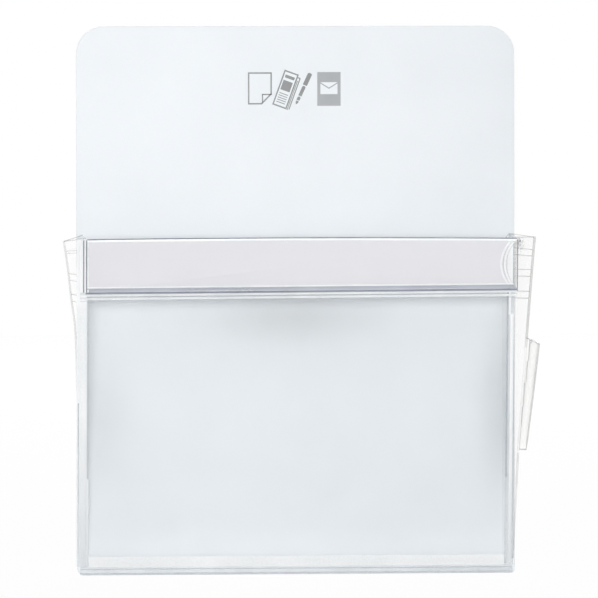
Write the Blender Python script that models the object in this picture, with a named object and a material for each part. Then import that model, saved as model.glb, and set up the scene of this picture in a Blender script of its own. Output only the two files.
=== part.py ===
"""Document pocket for A5 landscape sheets, held on a steel board by flexible magnets.

A white backing sheet carries a clear pocket on its lower part. The pocket's front tips about the seam at
its foot, and a folded gusset closes each side. A paper label slides in a sleeve along the pocket's top
edge, and a small tube at the right gusset's fold holds a pen.

The frame: the origin is the centre of the middle magnet's rear face, on the board's surface. +Z is up,
-Y points away from the board towards the reader, and +X is to the reader's right.
"""

import math

import bmesh
import bpy
from mathutils import Matrix, Vector

MM = 0.001

# Backing sheet
BACKING_WIDTH = 220.0 * MM
BACKING_HEIGHT = 275.0 * MM
BACKING_THICKNESS = 0.8 * MM
TOP_CORNER_RADIUS = 14.0 * MM
BOTTOM_CORNER_RADIUS = 2.0 * MM

# Magnets glued to the back, all alike
MAGNET_LENGTH = 200.0 * MM
MAGNET_HEIGHT = 30.0 * MM
MAGNET_THICKNESS = 1.0 * MM
MAGNET_EDGE_MARGIN = 12.0 * MM
GLUE_GAP = 0.3 * MM

# Clear films, and the gap that welded layers keep to each other
FILM_THICKNESS = 0.3 * MM
WELD_GAP = 0.2 * MM

# Pocket
BOTTOM_SEAM_HEIGHT = 3.6 * MM
BOTTOM_SEAM_INSET = 0.4 * MM
HINGE_GAP = 0.4 * MM
POCKET_HEIGHT = 166.5 * MM
FOLD_INSET = 3.0 * MM
FRONT_SIDE_MARGIN = 1.7 * MM
SIDE_SEAM_WIDTH = 3.0 * MM
SEAM_EDGE_GAP = 0.3 * MM
REST_TILT = math.radians(7.0)

# Gussets
LEAF_WIDTH = 15.0 * MM
LEAF_TOP_DROOP = 1.4 * MM
LEAF_SEAM_GAP = 0.5 * MM
CREASE_GAP = 0.5 * MM
LEAF_FOOT_WIDTH = 0.8 * MM
BAR_COUNT = 3
BAR_PITCH = 10.4 * MM
BAR_HEIGHT = 3.3 * MM
BAR_RELIEF = 0.2 * MM
BAR_END_MARGIN = 2.2 * MM
BAR_TOP_MARGIN = 7.2 * MM

# Label sleeve and label
SLEEVE_HEIGHT = 31.3 * MM
SLEEVE_THICKNESS = 0.2 * MM
SLEEVE_WELD = 3.3 * MM
SLEEVE_END_WELD = 2.5 * MM
SLEEVE_TOP_FOLD = 0.8 * MM
LABEL_THICKNESS = 0.3 * MM
LABEL_CLEARANCE = 0.2 * MM
LABEL_END_CLEARANCE = 0.8 * MM
LABEL_EDGE_CLEARANCE = 0.6 * MM
LABEL_OPEN_END_INSET = 4.1 * MM
NOTCH_RADIUS = 16.8 * MM
NOTCH_DEPTH = 5.5 * MM

# Pen sleeve
PEN_SLEEVE_FOOT = 58.0 * MM
PEN_SLEEVE_LENGTH = 54.0 * MM
PEN_SLEEVE_TOP_REACH = 7.2 * MM
PEN_SLEEVE_FOOT_REACH = 4.6 * MM
PEN_SLEEVE_DEPTH_RATIO = 1.4
PEN_SLEEVE_WALL = 0.3 * MM
PEN_SLEEVE_GAP = 0.2 * MM
PEN_TAB_WIDTH = 3.0 * MM

ARC_STEPS = 12
ROUND_SIDES = 32

# Places worked out from the sizes above
MAGNET_PITCH = BACKING_HEIGHT / 2 - MAGNET_EDGE_MARGIN - MAGNET_HEIGHT / 2
BACKING_REAR_Y = -(MAGNET_THICKNESS + GLUE_GAP)
BACKING_FRONT_Y = BACKING_REAR_Y - BACKING_THICKNESS
BACKING_FOOT_Z = -BACKING_HEIGHT / 2
REAR_FOLD_Y = BACKING_FRONT_Y - WELD_GAP - FILM_THICKNESS / 2
FRONT_FOLD_Y = REAR_FOLD_Y - FILM_THICKNESS - WELD_GAP
SEAM_TOP_Z = BACKING_FOOT_Z + BOTTOM_SEAM_INSET + BOTTOM_SEAM_HEIGHT
HINGE_Z = SEAM_TOP_Z + HINGE_GAP
FOLD_HALF_SPACING = BACKING_WIDTH / 2 - FOLD_INSET
FRONT_HALF_WIDTH = FOLD_HALF_SPACING + FRONT_SIDE_MARGIN
LEAF_TAPER = LEAF_WIDTH / POCKET_HEIGHT
LEAF_SWING = math.asin(math.tan(REST_TILT / 2) / LEAF_TAPER)
SEAM_INNER_X = FOLD_HALF_SPACING - SEAM_EDGE_GAP - SIDE_SEAM_WIDTH
SLEEVE_REAR_Y = -(FILM_THICKNESS / 2 + WELD_GAP)
SLEEVE_FRONT_Y = -(FILM_THICKNESS / 2 + 2 * LABEL_CLEARANCE + LABEL_THICKNESS + SLEEVE_THICKNESS)
SLEEVE_FOOT_Z = POCKET_HEIGHT - SLEEVE_HEIGHT
SLOT_LEFT_X = -FRONT_HALF_WIDTH + SLEEVE_END_WELD
SLOT_FOOT_Z = SLEEVE_FOOT_Z + SLEEVE_WELD
SLOT_TOP_Z = POCKET_HEIGHT - SLEEVE_TOP_FOLD

PARTS = "document_pocket"
CUTTERS = "cutters"


def clear_scene():
    """Remove what is in the file already."""
    for scene_object in list(bpy.data.objects):
        bpy.data.objects.remove(scene_object, do_unlink=True)
    for collection in list(bpy.data.collections):
        bpy.data.collections.remove(collection)


def new_collection(name):
    """Add a collection to the scene."""
    collection = bpy.data.collections.new(name)
    bpy.context.scene.collection.children.link(collection)
    return collection


def material(name, color, roughness, alpha=1.0, metallic=0.0):
    """Make a plain surface of one colour."""
    made = bpy.data.materials.new(name)
    made.use_nodes = True
    surface = made.node_tree.nodes["Principled BSDF"]
    surface.inputs["Base Color"].default_value = (*color, 1.0)
    surface.inputs["Roughness"].default_value = roughness
    surface.inputs["Metallic"].default_value = metallic
    surface.inputs["Alpha"].default_value = alpha
    made.diffuse_color = (*color, alpha)
    return made


def place(name, data, finish=None, parent=None, location=(0.0, 0.0, 0.0), rotation=(0.0, 0.0, 0.0)):
    """Put new data in the scene as a named part of the pocket."""
    part = bpy.data.objects.new(name, data)
    bpy.data.collections[PARTS].objects.link(part)
    part.parent = parent
    part.location = location
    part.rotation_euler = rotation
    if finish is not None:
        data.materials.append(finish)
    return part


def axis_empty(name, location, rotation, parent=None):
    """Put an empty on a joint's axis. What turns about the axis hangs on it."""
    empty = place(name, None, None, parent, location, rotation)
    empty.empty_display_size = 10.0 * MM
    return empty


def box_mesh(name, low, high):
    """Make a box between two corners."""
    low = Vector(low)
    high = Vector(high)
    shape = bmesh.new()
    bmesh.ops.create_cube(shape, size=1.0)
    bmesh.ops.scale(shape, vec=high - low, verts=shape.verts)
    bmesh.ops.translate(shape, vec=(low + high) / 2, verts=shape.verts)
    mesh = bpy.data.meshes.new(name)
    shape.to_mesh(mesh)
    shape.free()
    return mesh


def add_tool(target, name, mesh, operation):
    """Cut a hidden shape out of a part, or join it to the part."""
    tool = bpy.data.objects.new(name, mesh)
    bpy.data.collections[CUTTERS].objects.link(tool)
    tool.parent = target
    tool.hide_render = True
    tool.display_type = "WIRE"
    step = target.modifiers.new(name, "BOOLEAN")
    step.operation = operation
    step.solver = "EXACT"
    step.object = tool
    return tool


def corner_arc(centre, radius, start_angle):
    """Give the points of a quarter circle, turning anticlockwise from the start angle."""
    points = []
    for step in range(ARC_STEPS + 1):
        angle = start_angle + math.pi / 2 * step / ARC_STEPS
        points.append((centre[0] + radius * math.cos(angle), centre[1] + radius * math.sin(angle)))
    return points


def backing_sheet(finish):
    """Make the backing: a flat outline with round corners, stood upright."""
    half_width = BACKING_WIDTH / 2
    half_height = BACKING_HEIGHT / 2
    corners = [(1, 1, TOP_CORNER_RADIUS), (-1, 1, TOP_CORNER_RADIUS),
               (-1, -1, BOTTOM_CORNER_RADIUS), (1, -1, BOTTOM_CORNER_RADIUS)]
    outline = []
    for index, (side, end, radius) in enumerate(corners):
        centre = (side * (half_width - radius), end * (half_height - radius))
        outline += corner_arc(centre, radius, index * math.pi / 2)
    curve = bpy.data.curves.new("backing_sheet", "CURVE")
    curve.dimensions = "2D"
    curve.fill_mode = "BOTH"
    curve.extrude = BACKING_THICKNESS / 2
    spline = curve.splines.new("POLY")
    spline.points.add(len(outline) - 1)
    for point, (across, up) in zip(spline.points, outline):
        point.co = (across, up, 0.0, 1.0)
    spline.use_cyclic_u = True
    middle = (0.0, (BACKING_REAR_Y + BACKING_FRONT_Y) / 2, 0.0)
    return place("backing_sheet", curve, finish, None, middle, (math.pi / 2, 0.0, 0.0))


def magnet_strips(finish):
    """Make the three magnets, one above the other, their rear faces on the board."""
    mesh = box_mesh("magnet_strip", (-MAGNET_LENGTH / 2, -MAGNET_THICKNESS, -MAGNET_HEIGHT / 2),
                    (MAGNET_LENGTH / 2, 0.0, MAGNET_HEIGHT / 2))
    mesh.materials.append(finish)
    for name, row in (("magnet_strip_top", 1), ("magnet_strip_middle", 0), ("magnet_strip_bottom", -1)):
        place(name, mesh, None, None, (0.0, 0.0, row * MAGNET_PITCH))


def bottom_seam(finish):
    """Make the fused band along the foot, which joins the front film to the backing."""
    front = FRONT_FOLD_Y - FILM_THICKNESS / 2
    mesh = box_mesh("bottom_seam", (-FRONT_HALF_WIDTH, front, SEAM_TOP_Z - BOTTOM_SEAM_HEIGHT),
                    (FRONT_HALF_WIDTH, BACKING_FRONT_Y - WELD_GAP, SEAM_TOP_Z))
    return place("bottom_seam", mesh, finish)


def side_seam(name, side, finish, parent, fold_y, foot):
    """Make the fused band beside one side fold, on the backing or on the front film."""
    inner = side * SEAM_INNER_X
    outer = side * (FOLD_HALF_SPACING - SEAM_EDGE_GAP)
    half = FILM_THICKNESS / 2
    mesh = box_mesh(name, (min(inner, outer), fold_y - half, foot),
                    (max(inner, outer), fold_y + half, foot + POCKET_HEIGHT - HINGE_GAP))
    return place(name, mesh, finish, parent)


def front_film(finish, hinge):
    """Make the pocket's front, between the two side seams."""
    half_width = SEAM_INNER_X - SEAM_EDGE_GAP
    half = FILM_THICKNESS / 2
    mesh = box_mesh("front_film", (-half_width, -half, HINGE_GAP), (half_width, half, POCKET_HEIGHT))
    return place("front_film", mesh, finish, hinge)


def gusset_leaf(name, finish, fold, outer_side):
    """Make one half of a folded gusset: a tapered leaf with weld bars across it near the mouth.

    The leaf's own frame has its fold to the seam along Z, from the foot of the pocket up, and X runs
    from that fold to the crease. outer_side is 1 where the leaf's outer face looks along its own +Y.
    """
    half = FILM_THICKNESS / 2
    foot = (LEAF_SEAM_GAP + LEAF_FOOT_WIDTH + CREASE_GAP) / LEAF_TAPER
    mesh = box_mesh(name, (0.0, -half, 0.0), (1.0, half, 1.0))
    for vertex in mesh.vertices:
        at_crease = vertex.co.x > 0.5
        at_mouth = vertex.co.z > 0.5
        droop = LEAF_TOP_DROOP if at_crease else 0.0
        height = POCKET_HEIGHT - droop if at_mouth else foot
        vertex.co.x = height * LEAF_TAPER - CREASE_GAP if at_crease else LEAF_SEAM_GAP
        vertex.co.z = height
    leaf = place(name, mesh, finish, fold)
    for index in range(BAR_COUNT):
        top = POCKET_HEIGHT - BAR_TOP_MARGIN - index * BAR_PITCH
        reach = (top - BAR_HEIGHT) * LEAF_TAPER - CREASE_GAP - BAR_END_MARGIN
        face = outer_side * (half + BAR_RELIEF)
        bar = box_mesh(f"{name}_bar_{index}",
                       (LEAF_SEAM_GAP + BAR_END_MARGIN, min(0.0, face), top - BAR_HEIGHT),
                       (reach, max(0.0, face), top))
        add_tool(leaf, bar.name, bar, "UNION")
    return leaf


def label_sleeve_frame(finish, hinge):
    """Make the seams that hold the label's sleeve on three sides: its foot, its closed end and its top."""
    bars = {
        "label_foot_seam": ((-FRONT_HALF_WIDTH, SLEEVE_FOOT_Z), (FRONT_HALF_WIDTH, SLOT_FOOT_Z)),
        "label_end_seam": ((-FRONT_HALF_WIDTH, SLOT_FOOT_Z + SEAM_EDGE_GAP),
                           (SLOT_LEFT_X, SLOT_TOP_Z - SEAM_EDGE_GAP)),
        "label_top_fold": ((-FRONT_HALF_WIDTH, SLOT_TOP_Z), (FRONT_HALF_WIDTH, POCKET_HEIGHT)),
    }
    for name, (low, high) in bars.items():
        mesh = box_mesh(name, (low[0], SLEEVE_FRONT_Y, low[1]), (high[0], SLEEVE_REAR_Y, high[1]))
        place(name, mesh, finish, hinge)


def label_sleeve(finish, hinge):
    """Make the sleeve's own film in front of the label, open at the right, with its thumb notch."""
    low = (SLOT_LEFT_X + SEAM_EDGE_GAP, SLEEVE_FRONT_Y, SLOT_FOOT_Z + SEAM_EDGE_GAP)
    high = (FRONT_HALF_WIDTH, SLEEVE_FRONT_Y + SLEEVE_THICKNESS, SLOT_TOP_Z - SEAM_EDGE_GAP)
    sheet = box_mesh("label_sleeve", low, high)
    sleeve = place("label_sleeve", sheet, finish, hinge)
    notch = bmesh.new()
    bmesh.ops.create_cone(notch, cap_ends=True, segments=2 * ROUND_SIDES, radius1=NOTCH_RADIUS,
                          radius2=NOTCH_RADIUS, depth=4 * SLEEVE_THICKNESS,
                          matrix=Matrix.Rotation(math.pi / 2, 4, "X"))
    mesh = bpy.data.meshes.new("thumb_notch")
    notch.to_mesh(mesh)
    notch.free()
    cutter = add_tool(sleeve, "thumb_notch", mesh, "DIFFERENCE")
    cutter.location = (FRONT_HALF_WIDTH - NOTCH_DEPTH + NOTCH_RADIUS, SLEEVE_FRONT_Y,
                       (SLOT_FOOT_Z + SLOT_TOP_Z) / 2)
    return sleeve


def label_card(finish, hinge):
    """Make the paper label, in its slot between the front film and the sleeve."""
    left = SLOT_LEFT_X + LABEL_END_CLEARANCE
    length = FRONT_HALF_WIDTH - LABEL_OPEN_END_INSET - left
    rear = -(FILM_THICKNESS / 2 + LABEL_CLEARANCE)
    mesh = box_mesh("label_card", (0.0, -LABEL_THICKNESS, SLOT_FOOT_Z + LABEL_EDGE_CLEARANCE),
                    (length, 0.0, SLOT_TOP_Z - LABEL_EDGE_CLEARANCE))
    return place("label_card", mesh, finish, hinge, (left, rear, 0.0))


def tapered_tube_mesh(name, top_reach, foot_reach, length):
    """Make a tapered oval bar, standing on z = 0, as deep along Y as the depth ratio says."""
    shape = bmesh.new()
    bmesh.ops.create_cone(shape, cap_ends=True, segments=ROUND_SIDES, radius1=foot_reach / 2,
                          radius2=top_reach / 2, depth=length)
    for vertex in shape.verts:
        reach = top_reach if vertex.co.z > 0 else foot_reach
        vertex.co.x += reach / 2
        vertex.co.y *= PEN_SLEEVE_DEPTH_RATIO
        vertex.co.z += length / 2
    mesh = bpy.data.meshes.new(name)
    shape.to_mesh(mesh)
    shape.free()
    return mesh


def pen_sleeve(finish, crease):
    """Make the pen's tube, just outside the right crease, with its weld tab on the front leaf.

    The crease's frame has Z up along the crease and X straight out from it, away from the pocket.
    """
    outer = tapered_tube_mesh("pen_sleeve", PEN_SLEEVE_TOP_REACH, PEN_SLEEVE_FOOT_REACH, PEN_SLEEVE_LENGTH)
    sleeve = place("pen_sleeve", outer, finish, crease, (PEN_SLEEVE_GAP, 0.0, PEN_SLEEVE_FOOT))
    tab = box_mesh("pen_tab", (-PEN_TAB_WIDTH, -FILM_THICKNESS, 0.0),
                   (PEN_SLEEVE_WALL, 0.0, PEN_SLEEVE_LENGTH))
    tab_tool = add_tool(sleeve, "pen_tab", tab, "UNION")
    tab_tool.rotation_euler = (0.0, 0.0, LEAF_SWING)
    tab_tool.location = (0.0, -(FILM_THICKNESS / 2 + WELD_GAP), 0.0)
    bore = tapered_tube_mesh("pen_bore", PEN_SLEEVE_TOP_REACH - 2 * PEN_SLEEVE_WALL,
                             PEN_SLEEVE_FOOT_REACH - 2 * PEN_SLEEVE_WALL, PEN_SLEEVE_LENGTH)
    bore_tool = add_tool(sleeve, "pen_bore", bore, "DIFFERENCE")
    bore_tool.location = (PEN_SLEEVE_WALL, 0.0, PEN_SLEEVE_WALL)
    return sleeve


def build():
    """Make every part of the pocket."""
    clear_scene()
    new_collection(PARTS)
    new_collection(CUTTERS)
    white_sheet = material("white_sheet", (0.90, 0.93, 0.95), 0.55)
    magnet_rubber = material("magnet_rubber", (0.035, 0.033, 0.032), 0.75)
    clear_film = material("clear_film", (0.86, 0.89, 0.91), 0.30, 0.35)
    weld_film = material("weld_film", (0.80, 0.84, 0.88), 0.22, 0.55)
    label_paper = material("label_paper", (0.84, 0.83, 0.86), 0.80)

    backing_sheet(white_sheet)
    magnet_strips(magnet_rubber)
    bottom_seam(weld_film)

    hinge = axis_empty("front_hinge_axis", (0.0, FRONT_FOLD_Y, HINGE_Z), (REST_TILT, 0.0, 0.0))
    front_film(clear_film, hinge)
    label_sleeve_frame(weld_film, hinge)
    label_sleeve(clear_film, hinge)
    label_card(label_paper, hinge)

    for word, side in (("left", -1), ("right", 1)):
        side_seam(f"{word}_rear_seam", side, weld_film, None, REAR_FOLD_Y, HINGE_Z)
        side_seam(f"{word}_front_seam", side, weld_film, hinge, 0.0, HINGE_GAP)
        facing = 0.0 if side > 0 else math.pi
        rear_fold = axis_empty(f"{word}_rear_fold", (side * FOLD_HALF_SPACING, REAR_FOLD_Y, HINGE_Z),
                               (0.0, 0.0, facing - side * LEAF_SWING))
        gusset_leaf(f"{word}_rear_leaf", clear_film, rear_fold, side)
        front_fold = axis_empty(f"{word}_front_fold", (side * FOLD_HALF_SPACING, 0.0, 0.0),
                                (0.0, 0.0, facing + side * LEAF_SWING), hinge)
        gusset_leaf(f"{word}_front_leaf", clear_film, front_fold, -side)

    crease = axis_empty("right_crease", (0.0, 0.0, 0.0), (0.0, math.atan(LEAF_TAPER), 0.0),
                        bpy.data.objects["right_front_fold"])
    outward = axis_empty("right_crease_outward", (0.0, 0.0, 0.0), (0.0, 0.0, -LEAF_SWING), crease)
    pen_sleeve(clear_film, outward)


build()
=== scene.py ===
"""Dresses the document pocket: its board, magnets, clear films, welds, label and pen loop.

Lengths are in metres, apart from those said to be in millimetres. The origin is the centre of the middle
magnet's rear face, +Z is up, -Y points towards the reader and +X to the reader's right.
"""

import logging
import math
from bisect import bisect
from contextlib import contextmanager
from dataclasses import dataclass
from enum import Enum
from functools import cache, partial
from typing import Callable, Iterator, Sequence

import bmesh
import bpy
from bpy.types import Material, Node, NodeSocket, NodeTree, Object
from mathutils import Matrix, Vector


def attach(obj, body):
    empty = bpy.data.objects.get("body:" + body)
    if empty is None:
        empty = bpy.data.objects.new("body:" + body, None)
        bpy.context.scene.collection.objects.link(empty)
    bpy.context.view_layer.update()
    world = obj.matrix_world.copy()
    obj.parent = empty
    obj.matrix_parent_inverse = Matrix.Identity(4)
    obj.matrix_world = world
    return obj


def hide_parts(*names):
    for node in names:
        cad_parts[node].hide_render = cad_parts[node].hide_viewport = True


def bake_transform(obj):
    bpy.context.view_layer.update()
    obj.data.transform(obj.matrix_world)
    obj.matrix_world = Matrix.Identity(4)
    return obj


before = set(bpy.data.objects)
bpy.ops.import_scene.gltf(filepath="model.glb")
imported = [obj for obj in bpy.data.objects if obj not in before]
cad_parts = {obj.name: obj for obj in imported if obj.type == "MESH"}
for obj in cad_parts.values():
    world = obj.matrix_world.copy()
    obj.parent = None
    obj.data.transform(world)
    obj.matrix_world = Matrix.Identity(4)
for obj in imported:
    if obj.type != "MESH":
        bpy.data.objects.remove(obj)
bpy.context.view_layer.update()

MM = 0.001
UNMOVED = Matrix.Identity(4)
ORIGIN = (0.0, 0.0, 0.0)
WHOLE = (0.0, 1.0)

Pair = tuple[float, float]
Triple = tuple[float, float, float]
Stripes = tuple[tuple[float, float, int], ...]
Changes = tuple[tuple[int, float, int, int], ...]

log = logging.getLogger("document_pocket")


class Side(Enum):
    """A side of the pocket, as the reader sees it."""

    LEFT = -1
    RIGHT = 1

    @property
    def word(self) -> str:
        """The side's name in the names of pieces."""
        return self.name.lower()


class Layer(Enum):
    """The half of a folded gusset: the one on the board or the one on the front film."""

    REAR = "rear"
    FRONT = "front"


@dataclass(frozen=True)
class Layout:
    """The folds and levels that the pieces are set out from."""

    board_size: Pair = (220.0 * MM, 275.0 * MM)
    board_rear: float = -1.3 * MM
    board_front: float = -2.1 * MM
    rear_fold_y: float = -2.45 * MM
    front_fold_y: float = -2.95 * MM
    hinge_z: float = -133.1 * MM
    fold_x: float = 107.0 * MM
    pocket_height: float = 166.5 * MM
    leaf_width: float = 15.0 * MM
    tilt: float = math.radians(7.0)

    @property
    def taper(self) -> float:
        """How much wider a gusset leaf gets for each metre of height."""
        return self.leaf_width / self.pocket_height

    @property
    def swing(self) -> float:
        """The angle of each leaf to the sideways direction at rest."""
        return math.asin(math.tan(self.tilt / 2) / self.taper)

    @property
    def front(self) -> Matrix:
        """The front film's frame: X to the right, Z up along the film from its hinge."""
        return Matrix.Translation((0.0, self.front_fold_y, self.hinge_z)) @ Matrix.Rotation(self.tilt, 4, "X")

    def fold(self, side: Side, layer: Layer) -> Matrix:
        """Give a leaf's frame: Z up along its side fold, X from the fold to the crease.

        Args:
            side: The gusset's side.
            layer: Which half of the gusset.

        Returns:
            The frame as a matrix.
        """
        facing = 0.0 if side is Side.RIGHT else math.pi
        if layer is Layer.REAR:
            foot = Matrix.Translation((side.value * self.fold_x, self.rear_fold_y, self.hinge_z))
            return foot @ Matrix.Rotation(facing - side.value * self.swing, 4, "Z")
        foot = self.front @ Matrix.Translation((side.value * self.fold_x, 0.0, 0.0))
        return foot @ Matrix.Rotation(facing + side.value * self.swing, 4, "Z")

    def pen_axis(self) -> Matrix:
        """Give the pen loop's frame: Z up along the right crease, X straight out from it."""
        crease = self.fold(Side.RIGHT, Layer.FRONT) @ Matrix.Rotation(math.atan(self.taper), 4, "Y")
        return crease @ Matrix.Rotation(-self.swing, 4, "Z")


LAYOUT = Layout()


def between(value: float, low: float, high: float) -> float:
    """Give how far a value is from low to high, from 0 to 1, eased at both ends."""
    share = min(1.0, max(0.0, (value - low) / (high - low)))
    return share * share * (3.0 - 2.0 * share)


def plateau(value: float, low: float, full: float, last: float, high: float) -> float:
    """Give a share that is 1 from full to last, and eases to 0 at low and at high."""
    return between(value, low, full) * (1.0 - between(value, last, high))


def spread(start: float, end: float, count: int) -> list[float]:
    """Give the places from start to end, with so many even steps between them."""
    return [start + (end - start) * step / count for step in range(count + 1)]


def in_mm(*rows: Pair) -> tuple[Pair, ...]:
    """Turn rows of two lengths in millimetres into metres."""
    return tuple((first * MM, second * MM) for first, second in rows)


def read_off(table: Sequence[Pair], place: float) -> float:
    """Read a value off a table of places and values, straight between its rows.

    Args:
        table: Rows of place and value, in rising order of place.
        place: Where to read.

    Returns:
        The value there.
    """
    if place <= table[0][0]:
        return table[0][1]
    for (low, start), (high, end) in zip(table, table[1:]):
        if place <= high:
            return start + (end - start) * (place - low) / (high - low)
    return table[-1][1]


def select_only(*pieces: Object) -> None:
    """Select some objects and nothing else.

    Args:
        pieces: The objects, of which the first one becomes the active one.
    """
    bpy.ops.object.select_all(action="DESELECT")
    for piece in pieces:
        piece.select_set(True)
    bpy.context.view_layer.objects.active = pieces[0]


def begin(name: str, operator: Callable[..., set[str]], **options: object) -> Object:
    """Add a primitive, name it and bring its size into its mesh.

    Args:
        name: The piece's name.
        operator: The operator that adds the primitive.
        options: The operator's own settings.

    Returns:
        The new object, alone selected.
    """
    bpy.ops.object.select_all(action="DESELECT")
    operator(**options)
    piece = bpy.context.active_object
    piece.name = piece.data.name = name
    bpy.ops.object.transform_apply(location=True, rotation=True, scale=True)
    return piece


def block(name: str, low: Sequence[float], high: Sequence[float]) -> Object:
    """Add a block between its lowest and its highest corner, as the start of a piece."""
    middle, size = (Vector(low) + Vector(high)) / 2, Vector(high) - Vector(low)
    return begin(name, bpy.ops.mesh.primitive_cube_add, size=1.0, location=middle, scale=size)


def slab(name: str, size: Pair, rear: float, front: float) -> Object:
    """Add an upright block about the board's middle, from its rear level to its front level."""
    wide, high = size[0] / 2, size[1] / 2
    return block(name, (-wide, front, -high), (wide, rear, high))


@contextmanager
def editing(piece: Object, kind: str) -> Iterator[None]:
    """Hold a piece in edit mode with nothing selected.

    Args:
        piece: The piece.
        kind: VERT, EDGE or FACE.

    Yields:
        Nothing; the piece is in edit mode meanwhile.
    """
    select_only(piece)
    bpy.ops.object.mode_set(mode="EDIT")
    bpy.ops.mesh.select_mode(type=kind)
    bpy.ops.mesh.select_all(action="DESELECT")
    try:
        yield
    finally:
        bpy.ops.object.mode_set(mode="OBJECT")


def pick(piece: Object, kind: str, test: Callable[[object], bool]) -> None:
    """Select those edges or faces of a piece in edit mode that pass a test.

    Args:
        piece: The piece, in edit mode.
        kind: edges or faces.
        test: What a part of the mesh has to pass.
    """
    shape = bmesh.from_edit_mesh(piece.data)
    bpy.ops.mesh.select_all(action="DESELECT")
    for part in getattr(shape, kind):
        if test(part):
            part.select_set(True)
    shape.select_flush_mode()
    bmesh.update_edit_mesh(piece.data)


def bisect_all(place: Sequence[float], way: Sequence[float], clear: bool = True) -> None:
    """Cut the whole mesh in edit mode with a plane, and clear what lies beyond it where asked."""
    bpy.ops.mesh.select_all(action="SELECT")
    bpy.ops.mesh.bisect(plane_co=place, plane_no=way, clear_outer=clear)


def round_edges(sheet: Object, radius: float, segments: int, through: bool = True,
                where: Callable[[Vector], bool] = lambda end: True) -> None:
    """Round the edges of a sheet in edit mode, either those that run through it or those along its faces.

    Args:
        sheet: The sheet, which lies across Y.
        radius: The radius.
        segments: How many steps the rounding has.
        through: Whether it is the edges that run through the sheet.
        where: What the place of an edge's end has to pass.
    """
    def is_meant(edge: bmesh.types.BMEdge) -> bool:
        """Tell whether an edge is one of them."""
        first, last = edge.verts[0].co, edge.verts[1].co
        return (abs(first.y - last.y) > 0.1 * MM) is through and where(first)

    pick(sheet, "edges", is_meant)
    bpy.ops.mesh.bevel(offset=radius, segments=segments, affect="EDGES")


def modify(piece: Object, kind: str, **settings: object) -> None:
    """Add a modifier and apply it.

    Args:
        piece: The piece.
        kind: The modifier's type.
        settings: The modifier's own settings.
    """
    select_only(piece)
    step = piece.modifiers.new(kind.lower(), kind)
    for key, value in settings.items():
        setattr(step, key, value)
    bpy.ops.object.modifier_apply(modifier=step.name)


def soften(piece: Object, degrees: float = 35.0) -> None:
    """Shade a piece smooth, but not across edges sharper than the angle."""
    select_only(piece)
    bpy.ops.object.shade_smooth_by_angle(angle=math.radians(degrees))


def settle(piece: Object, place: Matrix) -> None:
    """Move a piece from the frame that it was modelled in to its place, in its mesh.

    Args:
        piece: The piece.
        place: The frame's matrix.
    """
    select_only(piece)
    piece.matrix_world = place
    bpy.ops.object.transform_apply(location=True, rotation=True, scale=True)


def dress(piece: Object, *finishes: str) -> None:
    """Give a piece its finishes, the first one on every face so far.

    Args:
        piece: The piece.
        finishes: The finishes' names in the order of the slots.
    """
    piece.data.materials.clear()
    for name in finishes:
        piece.data.materials.append(FINISHES[name].material())


def fasten(piece: Object, body: str, slot: str, *nodes: str,
           bend: tuple[str, Vector, Vector] | None = None) -> None:
    """Attach a piece to its body, or only bake its transform where a bend is given; hide the CAD nodes that
    it stands for, and log it.

    Args:
        piece: The finished piece.
        body: The body that it moves with.
        slot: A material slot's name; not used.
        nodes: The nodes of the frame that it stands for.
        bend: Where a film bends: the body after the fold, and where the bend starts and ends. When it is
            given, the piece only has its transform baked: it is not attached, and nothing bends it.
    """
    if bend:
        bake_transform(piece)
    else:
        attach(piece, body)
    if nodes:
        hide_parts(*nodes)
    log.info("%s on %s, %d faces", piece.name, body, len(piece.data.polygons))


class NodeSheet:
    """A node tree with short ways to add and wire its nodes."""

    def __init__(self, tree: NodeTree) -> None:
        """Work on the given tree."""
        self.tree = tree

    def feed(self, target: NodeSocket, value: object) -> None:
        """Connect an input to an output, or set it to a value.

        Args:
            target: The input.
            value: The output, number, vector or colour.
        """
        if isinstance(value, NodeSocket):
            self.tree.links.new(value, target)
        else:
            target.default_value = (*value, 1.0) if target.type == "RGBA" else value

    def add(self, kind: str, inputs: dict[str | int, object] | None = None, **settings: object) -> Node:
        """Add a node.

        Args:
            kind: The node's type, without the ShaderNode in front.
            inputs: A value or output for each of its inputs.
            settings: The node's own settings.

        Returns:
            The node.
        """
        node = self.tree.nodes.new("ShaderNode" + kind)
        for key, value in settings.items():
            setattr(node, key, value)
        for key, value in (inputs or {}).items():
            self.feed(node.inputs[key], value)
        return node

    def effect(self, group: NodeTree, vector: NodeSocket, **values: object) -> dict[str, NodeSocket]:
        """Place a node group with its own values, with _ for a space in a name, and give its outputs."""
        named = {name.replace("_", " "): value for name, value in values.items()}
        return self.add("Group", {"Vector": vector, **named}, node_tree=group).outputs

    def math(self, operation: str, first: object, second: object) -> NodeSocket:
        """Work on two values or outputs with a Math node, and give the result."""
        return self.add("Math", {0: first, 1: second}, operation=operation).outputs[0]

    def remap(self, value: object, source: Pair, target: Pair = WHOLE, **settings: object) -> NodeSocket:
        """Map a range of values onto another one, held at its ends, and give the result."""
        ends = {"From Min": source[0], "From Max": source[1], "To Min": target[0], "To Max": target[1]}
        return self.add("MapRange", {"Value": value, **ends}, **settings).outputs["Result"]

    def blend(self, share: object, first: object, second: object) -> NodeSocket:
        """Mix two colours or colour outputs by the second one's share, and give the result."""
        return self.add("Mix", {0: share, 6: first, 7: second}, data_type="RGBA").outputs[2]

    def noise(self, vector: NodeSocket, scale: object, detail: float, roughness: float) -> NodeSocket:
        """Add a noise texture, and give its value."""
        inputs = {"Vector": vector, "Scale": scale, "Detail": detail, "Roughness": roughness}
        return self.add("TexNoise", inputs).outputs["Fac"]


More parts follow.
